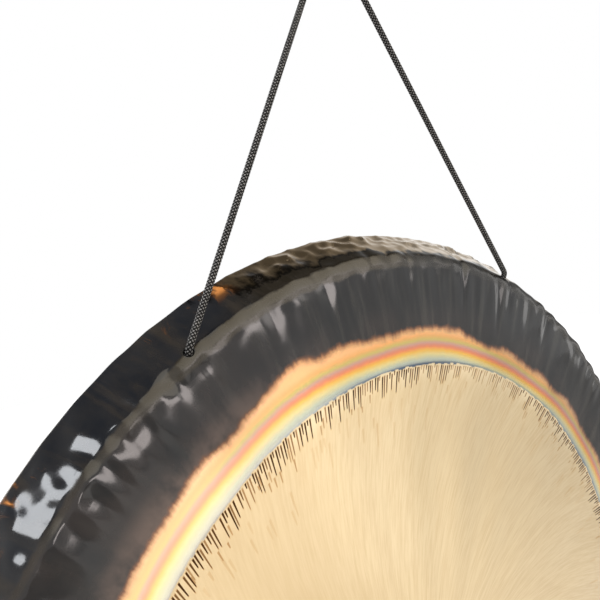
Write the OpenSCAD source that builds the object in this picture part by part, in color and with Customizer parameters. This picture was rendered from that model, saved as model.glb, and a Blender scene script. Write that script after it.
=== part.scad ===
// Tam-tam gong: a bronze plate with a turned-back rim, hung by one cord from a steel S-hook.
// Millimetres, +Z up. The gong's face looks along -Y and its rim is turned back along +Y.
// The origin is the middle of the hook's upper bend, on the axis of the bar that the hook hangs on.

/* [Gong plate] */
// Diameter over the back edge of the rim
gong_d = 813; // [700:1:1000]
// Thickness of the bronze sheet
sheet = 2.5; // [1.5:0.1:3.5]
// Depth of the rim, from the corner of the shoulder to the back edge
rim_depth = 36; // [28:1:60]
// Flare of the rim from the gong's axis, in degrees
rim_flare = 28.5; // [20:0.5:36]
// Outer radius of the shoulder bend between the face and the rim
shoulder_r = 12; // [6:0.5:16]
// How far the middle of the face stands forward of the shoulder
crown = 12; // [4:0.5:20]
// Diameter of the lathed disc in the middle of the face
lathed_d = 594; // [400:2:640]
// Depth that the lathe takes off the disc
lathe_cut = 0.2; // [0.05:0.05:0.5]

/* [Cord holes] */
// Diameter of each hole
hole_d = 7; // [6:0.5:10]
// Angle of each hole from the top of the gong, in degrees
hole_angle = 26.3; // [18:0.1:40]
// Slope of each hole's axis from the gong's axis, in degrees
hole_tilt = 45; // [42:1:50]

/* [Cord] */
// Diameter of the braided cord
cord_d = 5; // [4:0.5:5.5]
// Height of the hook's lower bend over the line where the cord flexes at the holes
cord_rise = 271; // [220:1:400]

/* [Hook] */
// Diameter of the hook's steel rod
hook_rod = 12; // [9:0.5:14]
// Inner radius of the upper bend, which goes over a bar
hook_upper_r = 20; // [14:0.5:30]
// Inner radius of the lower bend, which holds the cord
hook_lower_r = 15; // [13:0.5:24]
// Sweep of each bend, from the middle of the hook to its tip, in degrees
hook_sweep = 240; // [220:1:255]
// Diameter of the ball on each tip
hook_ball = 15; // [14.5:0.5:18]

/* [Clearances] */
// Gap between pieces that move on each other
moving_gap = 0.3; // [0.2:0.05:0.5]
// Gap between the flexing cord and the plate
flex_gap = 1.1; // [0.8:0.1:2]
// Gap between a knot and the plate that it is pulled against
knot_gap = 0.1; // [0.05:0.05:0.5]

/* [Hidden] */
$fn = 96;

// Section of the plate, in radius and depth, with the corner of the shoulder at depth 0
corner_r = gong_d / 2 - rim_depth * tan(rim_flare);
face_slope = atan(2 * crown / corner_r);
shoulder_turn = 90 - rim_flare - face_slope;
shoulder_run = shoulder_r * tan(shoulder_turn / 2);
face_edge = [corner_r - shoulder_run * cos(face_slope), -shoulder_run * sin(face_slope)];
shoulder_mid = face_edge + shoulder_r * [-sin(face_slope), cos(face_slope)];
rim_run = rim_depth / cos(rim_flare) - shoulder_run;
rim_along = [sin(rim_flare), cos(rim_flare)];
rim_out = [cos(rim_flare), -sin(rim_flare)];
rim_edge_mid = shoulder_mid + (shoulder_r - sheet / 2) * rim_out + (rim_run - sheet / 2) * rim_along;
face_steps = 14;
shoulder_steps = 10;
edge_steps = 8;

// Places in the part's frame
upper_bend_r = hook_upper_r + hook_rod / 2;
lower_bend_r = hook_lower_r + hook_rod / 2;
lower_bend_z = -upper_bend_r - lower_bend_r;
rod_z = lower_bend_z - lower_bend_r;
bight_r = hook_rod / 2 + moving_gap + cord_d / 2;
flex_out = shoulder_r + flex_gap + cord_d / 2;
flex_r = shoulder_mid[0] + flex_out * sin(hole_tilt);
flex_x = flex_r * sin(hole_angle);
flex_z = rod_z - cord_rise;
gong_y = flex_out * cos(hole_tilt) - shoulder_mid[1];
gong_z = flex_z - flex_r * cos(hole_angle);

// Cord over the hook: each run leans in from its hole and touches the bight's arc
cord_sides = 10;
cord_lean = atan2(flex_x, cord_rise) - asin(bight_r / norm([flex_x, cord_rise]));
run_top = [bight_r * cos(cord_lean), 0, rod_z + bight_r * sin(cord_lean)];
run_bottom = [flex_x, 0, flex_z];
run_steps = ceil(norm(run_top - run_bottom) / (2.5 * cord_d));
bight_steps = 10;
ball_angles = [30, 60, 80];

// Overhand knot behind a hole, in cord diameters: down the hole's axis, back up, round and through
knot_down = [[0, 0, 0], [0, 0, -0.7], [0, 0, -1.4], [0, 0, -2.2], [0, 0, -2.9]];
knot_back = [[-0.2, 0, -3.3], [-0.6, 0, -3.5], [-1, 0, -3.3], [-1.2, 0, -2.9]];
knot_tuck = [[0.4, -1.22, -0.6], [0.9, -1.05, -0.6], [1.2, -0.6, -0.7], [1.25, -0.15, -1.1], [1.2, 0, -1.7]];
knot_tail = [[1.15, 0, -2.4], [1.15, 0, -3.2], [1.2, 0, -4], [1.4, 0, -4.8]];
knot_start = 200;
knot_wrap = 400;
knot_wrap_steps = 10;
knot_wrap_r = 1.25;
knot_wrap_low = -2.2;
knot_wrap_top = -0.65;
knot_core = 0.57;
knot_fine = 2;

// Depth at which the knot's top strand meets the back of the face
seat_slope = hole_tilt - face_slope;
seat_room = shoulder_r - sheet - cord_d / 2 - knot_gap;
seat_reach = -knot_tuck[0][1] * cord_d * sin(seat_slope);
knot_seat = (seat_room - seat_reach) / cos(seat_slope) - knot_tuck[0][2] * cord_d;
stub_top = flex_out - cord_d / 2 - moving_gap;

// Front of the face at a radius: a shallow parabola that meets the shoulder at its slope
function face_depth(r) = face_edge[1] + (r * r / face_edge[0] - face_edge[0]) * tan(face_slope) / 2;
function face_front(r) = [r, face_depth(r)];
function face_back(r) =
    let (slope = atan(r * tan(face_slope) / face_edge[0]))
    face_front(r) + sheet * [-sin(slope), cos(slope)];
function arc(mid, r, from, to, steps) =
    [for (i = [0:steps]) let (a = from + (to - from) * i / steps) mid + r * [cos(a), sin(a)]];
function between(from, to, steps) = [for (i = [0:steps]) from + (to - from) * i / steps];
function mirrored(points) = [for (i = [len(points) - 1:-1:0]) [-points[i][0], points[i][1], points[i][2]]];

// Tube along a path: rings of points carried along without twist, joined by triangles
function unit(v) = v / norm(v);
function heading(path, i) = unit(path[min(i + 1, len(path) - 1)] - path[max(i - 1, 0)]);
function squared(n, t) = unit(n - (n * t) * t);
function carried(path) =
    [for (i = 0, n = squared([0, 1, 0], heading(path, 0)); i < len(path);
          i = i + 1, n = squared(n, heading(path, i))) n];
function ring(c, t, n, r) =
    [for (k = [0:cord_sides - 1]) let (a = 360 * k / cord_sides) c + r * (cos(a) * n + sin(a) * cross(t, n))];

module tube(path, radii) {
    side = carried(path);
    last = len(path) - 1;
    points = [for (i = [0:last]) each ring(path[i], heading(path, i), side[i], radii[i])];
    walls = [for (i = [0:last - 1], k = [0:cord_sides - 1])
        let (a = i * cord_sides + k, b = i * cord_sides + (k + 1) % cord_sides)
        each [[a, a + cord_sides, b], [b, a + cord_sides, b + cord_sides]]];
    caps = [for (k = [1:cord_sides - 2])
        each [[0, k, k + 1], [last * cord_sides, last * cord_sides + k + 1, last * cord_sides + k]]];
    polyhedron(points = points, faces = concat(walls, caps));
}

// Smooth curve through points, each span cut into equal parts
function spline_at(a, b, c, d, t) =
    0.5 * (2 * b + (c - a) * t + (2 * a - 5 * b + 4 * c - d) * t * t + (3 * b - a - 3 * c + d) * t * t * t);
function spline(points, fine) =
    let (last = len(points) - 1)
    concat([for (i = [0:last - 1], j = [0:fine - 1])
        spline_at(i > 0 ? points[i - 1] : 2 * points[0] - points[1], points[i], points[i + 1],
            i < last - 1 ? points[i + 2] : 2 * points[last] - points[last - 1], j / fine)], [points[last]]);

// One turn round the knot's two core strands, which lie side by side
function knot_turn() =
    [for (i = [0:knot_wrap_steps])
        let (a = knot_start + knot_wrap * i / knot_wrap_steps, c = min(1, max(-1, 1.6 * cos(a))))
        [knot_core + knot_core * c + knot_wrap_r * cos(a), knot_wrap_r * sin(a),
            knot_wrap_low + (knot_wrap_top - knot_wrap_low) * i / knot_wrap_steps]];
knot_route = concat(knot_down, knot_back, knot_turn(), knot_tuck, knot_tail);
knot_path = spline([for (p = knot_route) cord_d * p + [0, 0, knot_seat]], knot_fine);
knot_far = 7;
knot_space = min([for (i = [0:len(knot_path) - 1 - knot_far], j = [i + knot_far:len(knot_path) - 1])
    norm(knot_path[i] - knot_path[j])]) - cord_d;
echo(str("least gap of the knot's cord to itself: ", knot_space, " mm"));

// Local frame of a hole: origin at the middle of the shoulder bend, +Z out along the hole
module at_hole() {
    translate([0, gong_y, gong_z])
        rotate([0, hole_angle, 0])
            translate([0, shoulder_mid[1], shoulder_mid[0]])
                rotate([90 - hole_tilt, 0, 0])
                    children();
}

module plate_section() {
    lathed_r = lathed_d / 2;
    outer = concat(
        [for (p = between(0, lathed_r, face_steps)) face_front(p) + [0, lathe_cut]],
        [for (p = between(lathed_r, face_edge[0], face_steps)) face_front(p)],
        arc(shoulder_mid, shoulder_r, face_slope - 90, -rim_flare, shoulder_steps));
    edge = arc(rim_edge_mid, sheet / 2, -rim_flare, 180 - rim_flare, edge_steps);
    inner = concat(
        arc(shoulder_mid, shoulder_r - sheet, -rim_flare, face_slope - 90, shoulder_steps),
        [for (p = between(face_edge[0], 0, face_steps)) face_back(p)]);
    polygon(concat(outer, edge, inner));
}

module gong_plate() {
    hole_h = 4 * sheet;
    color([0.36, 0.29, 0.2])
        difference() {
            translate([0, gong_y, gong_z])
                rotate([-90, 0, 0])
                    rotate_extrude()
                        plate_section();
            for (side = [0, 1])
                mirror([side, 0, 0])
                    at_hole()
                        translate([0, 0, shoulder_r - sheet / 2 - hole_h / 2])
                            cylinder(d = hole_d, h = hole_h);
        }
}

// The cord's end: out of the hole's mouth at the top, knotted behind the shoulder
module cord_end() {
    path = concat(between([0, 0, stub_top], [0, 0, knot_seat + 0.5 * cord_d], 3), knot_path);
    color([0.08, 0.08, 0.08])
        at_hole()
            tube(path, [for (p = path) cord_d / 2]);
}

module right_cord_end() {
    cord_end();
}

module left_cord_end() {
    mirror([1, 0, 0])
        cord_end();
}

// The cord's two runs and the bight over the hook, with a round end at each hole to flex on
module hanging_cord() {
    along = unit(run_top - run_bottom);
    ball = [for (i = [len(ball_angles) - 1:-1:0]) run_bottom - along * sin(ball_angles[i]) * cord_d / 2];
    ball_radii = [for (i = [len(ball_angles) - 1:-1:0]) cos(ball_angles[i]) * cord_d / 2];
    half = concat(ball, between(run_bottom, run_top, run_steps));
    bight = [for (i = [1:bight_steps - 1])
        let (a = cord_lean + (180 - 2 * cord_lean) * i / bight_steps)
        [bight_r * cos(a), 0, rod_z + bight_r * sin(a)]];
    half_radii = concat(ball_radii, [for (i = [0:run_steps]) cord_d / 2]);
    flipped = [for (i = [len(half_radii) - 1:-1:0]) half_radii[i]];
    color([0.08, 0.08, 0.08])
        tube(concat(half, bight, mirrored(half)), concat(half_radii, [for (p = bight) cord_d / 2], flipped));
}

// One bend of the hook in the Y-Z plane, with a ball tip at its far end
module hook_bend(r, from) {
    rotate([90, 0, 90])
        rotate([0, 0, from]) {
            rotate_extrude(angle = hook_sweep)
                translate([r, 0])
                    circle(d = hook_rod);
            rotate([0, 0, hook_sweep])
                translate([r, 0, 0])
                    sphere(d = hook_ball);
        }
}

module s_hook() {
    color([0.72, 0.73, 0.75]) {
        hook_bend(upper_bend_r, -90);
        translate([0, 0, lower_bend_z])
            hook_bend(lower_bend_r, 90);
    }
}

gong_plate();
left_cord_end();
right_cord_end();
hanging_cord();
s_hook();
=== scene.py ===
import math

import bmesh
import bpy
import numpy as np
from mathutils import Matrix, Quaternion, Vector


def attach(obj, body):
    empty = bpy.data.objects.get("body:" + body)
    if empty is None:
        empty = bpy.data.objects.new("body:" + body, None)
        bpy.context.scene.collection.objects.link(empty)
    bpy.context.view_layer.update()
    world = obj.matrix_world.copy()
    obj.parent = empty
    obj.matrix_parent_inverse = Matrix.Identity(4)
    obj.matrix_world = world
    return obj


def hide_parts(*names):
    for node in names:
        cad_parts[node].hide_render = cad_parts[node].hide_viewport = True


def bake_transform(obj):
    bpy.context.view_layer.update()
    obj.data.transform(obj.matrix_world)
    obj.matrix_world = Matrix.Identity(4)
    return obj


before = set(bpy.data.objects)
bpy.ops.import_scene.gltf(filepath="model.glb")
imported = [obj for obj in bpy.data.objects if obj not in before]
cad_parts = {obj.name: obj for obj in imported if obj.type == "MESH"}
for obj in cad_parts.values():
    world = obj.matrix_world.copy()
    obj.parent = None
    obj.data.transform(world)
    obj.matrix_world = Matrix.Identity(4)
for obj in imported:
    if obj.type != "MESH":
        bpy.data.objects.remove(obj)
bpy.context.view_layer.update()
scene = bpy.context.scene
scene.view_settings.view_transform = "Standard"
millimetre = 0.001


# Camera and studio

view = {
    "fromGong": (-1.0202, -1.0058, 1.0033),  # camera's place from the gong's middle, in gong radii
    "yaw": 0.69,  # radians to the right of straight ahead
    "pitch": -0.0781,
    "roll": -0.1404,
    "focalPixels": 744.53,  # for a picture 600 pixels wide
    "pictureWidth": 600.0,
}

studio = {
    "floorHeight": -1.5,
    "floorSize": 14.0,
    "floorColour": (214, 213, 211),
    "floorSeen": 0.9,  # lifts the pale floor to white where the camera sees it
    "floorMirrored": 0.3,  # and where polished surfaces show it
    "floorFade": (0.4, 3.0),  # places from front to rear where that ends
    "floorRoughness": 0.9,
    "skyLevel": 0.4,  # diffuse light from the whole room
    # where the white backdrop starts and ends to fade, as shares of a direction, and the level that is left
    "ceiling": (0.10, 0.95, 0.14),
    "rightWall": (0.86, 0.955, 0.25),
    "rearWall": (0.64, 0.86, 0.15),  # for what the gong's back shows
    "lampTarget": (0.0, 0.0, -0.4),
    "lampDistance": 2.4,
    "lamps": {
        # azimuth, elevation and roll in degrees, width and height in metres, radiance, colour
        "keyBox": (20.0, 44.0, 0.0, (3.2, 2.9), 1.7, (1.0, 0.92, 0.76)),
        "stripLeft": (18.0, 2.0, 22.0, (1.3, 0.25), 7.0, (1.0, 0.9, 0.87)),
        "stripTop": (42.0, 10.0, 0.0, (0.8, 0.24), 2.8, (1.0, 0.92, 0.88)),
        "fillBox": (27.0, -19.0, 0.0, (1.5, 0.76), 0.78, (1.0, 0.98, 0.95)),
        "leftBox": (-80.0, 43.0, 0.0, (1.3, 0.65), 12.0, (0.93, 0.96, 1.0)),
        "rearBox": (-142.0, 30.0, 0.0, (1.0, 0.7), 12.0, (1.0, 0.97, 0.93)),
        "rightStrip": (73.0, 2.0, 0.0, (0.45, 1.0), 1.5, (1.0, 0.98, 0.96)),
    },
}


# sRGB numbers from 0 to 255 as the linear colour that shaders take
def paint(red, green, blue):
    shares = np.array([red, green, blue]) / 255.0
    linear = np.where(shares <= 0.04045, shares / 12.92, ((shares + 0.055) / 1.055) ** 2.4)
    return (*linear.tolist(), 1.0)


# A mesh, lamp or camera as an object in the scene
def addObject(name, data):
    piece = bpy.data.objects.new(name, data)
    scene.collection.objects.link(piece)
    return piece


# Camera axes: the heading turned by yaw and pitch, then rolled about itself
def makeCamera(values, middle, radius):
    yaw, pitch, roll = values["yaw"], values["pitch"], values["roll"]
    ahead = np.array([math.sin(yaw) * math.cos(pitch), math.cos(yaw) * math.cos(pitch), math.sin(pitch)])
    right = np.array([math.cos(yaw), -math.sin(yaw), 0.0])
    above = np.cross(right, ahead)
    rolledRight = right * math.cos(roll) + above * math.sin(roll)
    rolledUp = above * math.cos(roll) - right * math.sin(roll)
    turn = Matrix([rolledRight, rolledUp, -ahead]).transposed().to_4x4()
    data = bpy.data.cameras.new("photoCamera")
    data.sensor_width = 36.0
    data.lens = values["focalPixels"] / values["pictureWidth"] * data.sensor_width
    data.clip_start = 0.02
    camera = addObject("photoCamera", data)
    camera.matrix_world = Matrix.Translation(middle + radius * np.array(values["fromGong"])) @ turn
    scene.camera = camera


# A direction from azimuth (0 is the front, 90 the right) and elevation, in degrees
def heading(azimuth, elevation):
    a, e = math.radians(azimuth), math.radians(elevation)
    return Vector((math.sin(a) * math.cos(e), -math.cos(a) * math.cos(e), math.sin(e)))


# A soft box: power is radiance times area times pi, and it faces the top of the gong
def makeSoftBox(name, azimuth, elevation, roll, size, radiance, colour):
    target = Vector(studio["lampTarget"])
    data = bpy.data.lights.new(name, "AREA")
    data.shape = "RECTANGLE"
    data.size, data.size_y = size
    data.energy = radiance * size[0] * size[1] * math.pi
    data.color = colour
    lamp = addObject(name, data)
    toLamp = heading(azimuth, elevation)
    lamp.location = target + toLamp * studio["lampDistance"]
    rolled = Quaternion((0.0, 0.0, 1.0), math.radians(roll))
    lamp.rotation_mode = "QUATERNION"
    lamp.rotation_quaternion = toLamp.to_track_quat("Z", "Y") @ rolled
    lamp.visible_camera = False


# A number or colour on its way between shader nodes; sums and products of it are math nodes
class Flow:
    def __init__(self, socket):
        self.socket = socket

    def __add__(self, other):
        return calc("ADD", self, other)

    def __sub__(self, other):
        return calc("SUBTRACT", self, other)

    def __rsub__(self, other):
        return calc("SUBTRACT", other, self)

    def __mul__(self, other):
        return calc("MULTIPLY", self, other)

    def __truediv__(self, other):
        return calc("DIVIDE", self, other)

    __radd__, __rmul__ = __add__, __mul__


# Links a flow to a socket, or sets a number or an sRGB colour on it
def feed(socket, value):
    if isinstance(value, Flow):
        socket.id_data.links.new(value.socket, socket)
    else:
        socket.default_value = paint(*value) if isinstance(value, tuple) else value


# One output of a new node: the values go into its inputs in order, the settings onto the node.
# It stands in the given tree, or in the tree of the first flow among the values.
def shaderNode(kind, values=(), places=range(9), output=0, tree=None, **settings):
    if tree is None:
        tree = next(value.socket.id_data for value in values if isinstance(value, Flow))
    node = tree.nodes.new("ShaderNode" + kind)
    for name, setting in settings.items():
        setattr(node, name, setting)
    for place, value in zip(places, values):
        feed(node.inputs[place], value)
    return Flow(node.outputs[output])


# One math node
def calc(operation, *values):
    return shaderNode("Math", values, operation=operation)


# The larger of two numbers, at least one of them a flow
def larger(one, other):
    return calc("MAXIMUM", one, other)


# Eased step from first at low to last at high
def ease(value, low, high, first=0.0, last=1.0):
    return shaderNode("MapRange", (value, low, high, first, last), interpolation_type="SMOOTHSTEP")


# Mix of two numbers: the first where the share is 0, the second where it is 1
def blendNumber(share, first, second):
    return shaderNode("Mix", (share, first, second), (0, 2, 3))


# Coats of colour over each other, each as dense as its share; a colour is a flow or a name among the values
def coats(values, colour, *layers):
    colour = values.get(colour, colour)
    for share, tone in layers:
        inputs = (share, colour, values.get(tone, tone))
        colour = shaderNode("Mix", inputs, (0, 6, 7), 2, data_type="RGBA")
    return colour


# Noise round a half
def grain(place, scale=1.0, detail=2.0, roughness=0.5, distortion=0.0):
    values = (place, scale, detail, roughness, distortion)
    return shaderNode("TexNoise", values, ("Vector", "Scale", "Detail", "Roughness", "Distortion"), "Fac")


# A number that the mesh has at each point
def attribute(tree, name):
    return shaderNode("Attribute", output="Fac", tree=tree, attribute_name=name)


# Place on the piece, in metres of the part's frame
def objectPlace(tree):
    return shaderNode("TexCoord", output="Object", tree=tree)


# The three parts of a place or a colour
def apart(value, kind="SeparateXYZ"):
    node = shaderNode(kind, (value,)).socket.node
    return [Flow(socket) for socket in node.outputs]


# Shares of rays: straight from the camera, and by way of a polished surface
def rays(tree):
    camera, glossy, passed = (shaderNode("LightPath", output=name, tree=tree) for name in
                              ("Is Camera Ray", "Is Glossy Ray", "Is Transmission Ray"))
    return camera, larger(glossy, passed)


# Colour scale with colours at places from 0 to 1
def ramp(value, stops):
    scale = shaderNode("ValToRGB", (value,))
    band = scale.socket.node.color_ramp
    while len(band.elements) < len(stops):
        band.elements.new(0.5)
    for element, (position, colour) in zip(band.elements, stops):
        element.position = position
        element.color = paint(*colour)
    return scale


# Fine relief: its strength, and the metres that a height of 1 stands for
def relief(height, strength, distance):
    return shaderNode("Bump", (height, strength, distance), ("Height", "Strength", "Distance"))


# Feeds a shader's inputs by their names
def dress(shader, inputs):
    for name, value in inputs.items():
        feed(shader.inputs[name], value)


# A new material, its node tree and its shader
def makeMaterial(name):
    material = bpy.data.materials.new(name)
    material.use_nodes = True
    tree = material.node_tree
    return material, tree, tree.nodes["Principled BSDF"]


# White backdrop for what the camera and the polished surfaces see.
# For the latter it fades to a dark ceiling overhead and to darker walls at the right and the rear.
def makeRoom(values):
    world = bpy.data.worlds.new("studio")
    scene.world = world
    world.use_nodes = True
    tree = world.node_tree
    background = tree.nodes["Background"]
    x, y, z = apart(shaderNode("TexCoord", output="Generated", tree=tree))
    fade = 1.0
    for part, name in ((z, "ceiling"), (x, "rightWall"), (y, "rearWall")):
        start, end, level = values[name]
        fade = ease(part, start, end, 1.0, level) * fade
    seen, mirrored = rays(tree)
    unseen = blendNumber(mirrored, values["skyLevel"], fade)
    dress(background, {"Color": (255, 255, 255), "Strength": blendNumber(seen, unseen, 1.0)})


# A square of pale floor; its own light lifts it to white in the camera's view
def makeFloor(values):
    half, height = values["floorSize"] / 2, values["floorHeight"]
    mesh = bpy.data.meshes.new("studioFloor")
    corners = [(-half, -half, height), (half, -half, height), (half, half, height), (-half, half, height)]
    mesh.from_pydata(corners, [], [(0, 1, 2, 3)])
    floor = addObject("studioFloor", mesh)
    material, tree, shader = makeMaterial("paleFloor")
    seen, mirrored = rays(tree)
    fade = ease(apart(objectPlace(tree))[1], *values["floorFade"], values["floorMirrored"], 0.0)
    dress(shader, {"Base Color": values["floorColour"], "Roughness": values["floorRoughness"],
                   "Emission Color": (255, 255, 255),
                   "Emission Strength": seen * values["floorSeen"] + mirrored * fade})
    mesh.materials.append(material)


makeRoom(studio)
makeFloor(studio)
for lampName, lampValues in studio["lamps"].items():
    makeSoftBox(lampName, *lampValues)
print("studio ready")


# Sizes that the pieces share, in metres, as in the part's source

plate = {
    "rimRadius": 0.4065,
    "sheet": 0.0025,
    "rimDepth": 0.036,
    "rimFlare": math.radians(28.5),
    "shoulderRadius": 0.012,
    "crown": 0.012,
    "lathedRadius": 0.297,
    "latheCut": 0.0002,
    "holeRadius": 0.0035,
    # a hole's flare: way out from the sheet's inner face, and how much wider it is there
    "holeFlare": [(-0.004, 0.0004), (-0.0006, 0.0004), (0.0, 0.0), (0.0017, 0.0), (0.0024, 0.00035),
                  (0.0034, 0.0012), (0.008, 0.0058)],
    "holeAngle": math.radians(26.3),
    "holeTilt": math.radians(45.0),
    "flexGap": 0.0011,
    "angleSteps": 1040,
    "sharpAngle": math.radians(32.0),
}

cordSizes = {
    "diameter": 0.005,
    "rise": 0.271,
    "rodHeight": -0.068,  # middle of the hook's rod under the cord's bight
    "bightRadius": 0.0088,
    "knotGap": 0.0001,
    "bendRadius": 0.008,  # where the cord turns out of its hole
    "ringStep": 0.00042,
    "sides": 40,
    "strands": 5,  # braid strands in each direction
    "pitch": 0.0122,
    "relief": 0.00034,
    "sunk": 0.75,  # share of the relief inside the cord's round
    "tipLength": 0.0015,
    "pathStep": 0.002,
    "flexHalf": 0.0045,  # height above and below the holes over which the cord bends
    "exitOut": 0.006,  # where it leaves the hole, from the middle of the shoulder
}

# Corner, face edge and bend middle of the plate's section, from its depth, flare and crown
flare, bendRadius = plate["rimFlare"], plate["shoulderRadius"]
cornerRadius = plate["rimRadius"] - plate["rimDepth"] * math.tan(flare)
faceSlope = math.atan(2 * plate["crown"] / cornerRadius)
shoulderTurn = math.pi / 2 - flare - faceSlope
shoulderRun = bendRadius * math.tan(shoulderTurn / 2)
bendArcLength = bendRadius * shoulderTurn
faceEdge = np.array([cornerRadius - shoulderRun * math.cos(faceSlope), -shoulderRun * math.sin(faceSlope)])
shoulderMid = faceEdge + bendRadius * np.array([-math.sin(faceSlope), math.cos(faceSlope)])
rimRun = plate["rimDepth"] / math.cos(flare) - shoulderRun
rimAlong = np.array([math.sin(flare), math.cos(flare)])
rimOut = np.array([math.cos(flare), -math.sin(flare)])

# Place of the gong under the hook, and the right hole's direction
holeAngle, holeTilt = plate["holeAngle"], plate["holeTilt"]
flexOut = bendRadius + plate["flexGap"] + cordSizes["diameter"] / 2
flexRadius = shoulderMid[0] + flexOut * math.sin(holeTilt)
flexHeight = cordSizes["rodHeight"] - cordSizes["rise"]
flexPoint = np.array([flexRadius * math.sin(holeAngle), 0.0, flexHeight])
gongDepth = flexOut * math.cos(holeTilt) - shoulderMid[1]
gongHeight = flexHeight - flexRadius * math.cos(holeAngle)
towardsHole = np.array([math.sin(holeAngle), 0.0, math.cos(holeAngle)])
holeAxis = math.sin(holeTilt) * towardsHole - np.array([0.0, math.cos(holeTilt), 0.0])
mirror = np.array([-1.0, 1.0, 1.0])  # takes places on the right to the left

makeCamera(view, np.array([0.0, gongDepth, gongHeight]), plate["rimRadius"])


# Places in the frame of the right hole, whose third axis goes out along the hole, as places of the part
def fromHole(points):
    sideways = np.array([math.cos(holeAngle), 0.0, -math.sin(holeAngle)])
    across = np.cross(holeAxis, sideways)
    middle = shoulderMid[0] * towardsHole + np.array([0.0, gongDepth + shoulderMid[1], gongHeight])
    return middle + points @ np.array([sideways, across, holeAxis])


# Mesh from grids of points: rows join to the next row, columns wrap round, ends close on one point each.
# A following grid has half the columns, and three triangles for each of its columns join the two.
def gridMesh(name, grids, firstPole, lastPole):
    points = np.vstack([grid.reshape(-1, 3) for grid in grids])
    loops, counts, rings = [], [], []

    # One face for each set of corners, given as arrays of point numbers
    def addFaces(*corners):
        faces = np.stack(corners, -1)
        loops.append(faces.ravel())
        counts.append(np.full(faces.size // len(corners), len(corners)))

    start = 0
    for grid in grids:
        rows, columns = grid.shape[:2]
        index = start + np.arange(rows * columns).reshape(rows, columns)
        following = np.roll(index, -1, axis=1)
        addFaces(index[:-1], following[:-1], following[1:], index[1:])
        rings.append(index)
        start += rows * columns
    for upper, lower in zip(rings, rings[1:]):
        first, middle, last = upper[-1][0::2], upper[-1][1::2], np.roll(upper[-1][0::2], -1)
        near, far = lower[0], np.roll(lower[0], -1)
        addFaces(first, middle, near)
        addFaces(middle, far, near)
        addFaces(middle, last, far)
    first, last = rings[0][0], rings[-1][-1]
    addFaces(np.roll(first, -1), first, np.full(len(first), len(points)))
    addFaces(last, np.roll(last, -1), np.full(len(last), len(points) + 1))
    points = np.vstack([points, firstPole, lastPole])
    loops, counts = np.concatenate(loops), np.concatenate(counts)
    mesh = bpy.data.meshes.new(name)
    mesh.vertices.add(len(points))
    mesh.vertices.foreach_set("co", points.astype(np.float32).ravel())
    mesh.loops.add(len(loops))
    mesh.loops.foreach_set("vertex_index", loops.astype(np.int32))
    mesh.polygons.add(len(counts))
    starts = np.concatenate([[0], np.cumsum(counts)[:-1]])
    mesh.polygons.foreach_set("loop_start", starts.astype(np.int32))
    mesh.polygons.foreach_set("use_smooth", np.ones(len(counts), bool))
    mesh.update(calc_edges=True)
    mesh.validate()
    return mesh


# One number for each point of a mesh
def addAttribute(mesh, name, values):
    layer = mesh.attributes.new(name, "FLOAT", "POINT")
    layer.data.foreach_set("value", np.asarray(values, np.float32).ravel())


# Joins points closer than the given distance and drops the faces that this leaves without an area
def removeSlivers(mesh, distance=1e-6):
    work = bmesh.new()
    work.from_mesh(mesh)
    bmesh.ops.remove_doubles(work, verts=work.verts, dist=distance)
    bmesh.ops.dissolve_degenerate(work, edges=work.edges, dist=distance)
    loose = [vert for vert in work.verts if not vert.link_faces]
    bmesh.ops.delete(work, geom=loose, context="VERTS")
    work.to_mesh(mesh)
    work.free()


# Cord

knot = {
    # route of the overhand knot in cord diameters: down the hole's axis, back up, round its own strands
    # and through; then the turn's angles in degrees, and the place of the strands that it goes round
    "down": [(0, 0, 0), (0, 0, -0.7), (0, 0, -1.4), (0, 0, -2.2), (0, 0, -2.9)],
    "back": [(-0.2, 0, -3.3), (-0.6, 0, -3.5), (-1, 0, -3.3), (-1.2, 0, -2.9)],
    "tuck": [(0.4, -1.22, -0.6), (0.9, -1.05, -0.6), (1.2, -0.6, -0.7), (1.25, -0.15, -1.1),
             (1.2, 0, -1.7)],
    "tail": [(1.15, 0, -2.4), (1.15, 0, -3.2), (1.2, 0, -4), (1.4, 0, -4.8)],
    "start": 200.0, "wrap": 400.0, "wrapSteps": 10, "wrapRadius": 1.25,
    "wrapLow": -2.2, "wrapTop": -0.65, "core": 0.57, "coreSharp": 1.6,
}


# One turn round the two core strands, which lie side by side, climbing from the low to the top level
def knotTurn(values):
    share = np.linspace(0.0, 1.0, values["wrapSteps"] + 1)
    angle = np.radians(values["start"] + values["wrap"] * share)
    core = values["core"] * (1 + np.clip(values["coreSharp"] * np.cos(angle), -1, 1))
    return np.stack([core + values["wrapRadius"] * np.cos(angle), values["wrapRadius"] * np.sin(angle),
                     values["wrapLow"] + (values["wrapTop"] - values["wrapLow"]) * share], -1)


# Smooth curve through points: each span is the cubic of its four nearest points
def spline(points, fine):
    ends = np.vstack([2 * points[0] - points[1], points, 2 * points[-1] - points[-2]])
    a, b, c, d = ends[:-3, None], ends[1:-2, None], ends[2:-1, None], ends[3:, None]
    t = (np.arange(fine) / fine)[None, :, None]
    spans = 0.5 * (2 * b + (c - a) * t + (2 * a - 5 * b + 4 * c - d) * t ** 2
                   + (3 * b - a - 3 * c + d) * t ** 3)
    return np.vstack([spans.reshape(-1, 3), points[-1]])


# Way along a line of points, from 0 at the first
def wayAlong(points):
    return np.concatenate([[0.0], np.cumsum(np.linalg.norm(np.diff(points, axis=0), axis=1))])


# Points at equal steps along a line of points
def evenly(points, step):
    reach = wayAlong(points)
    marks = np.linspace(0.0, reach[-1], int(round(reach[-1] / step)) + 1)
    return np.stack([np.interp(marks, reach, points[:, k]) for k in range(3)], -1)


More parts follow.
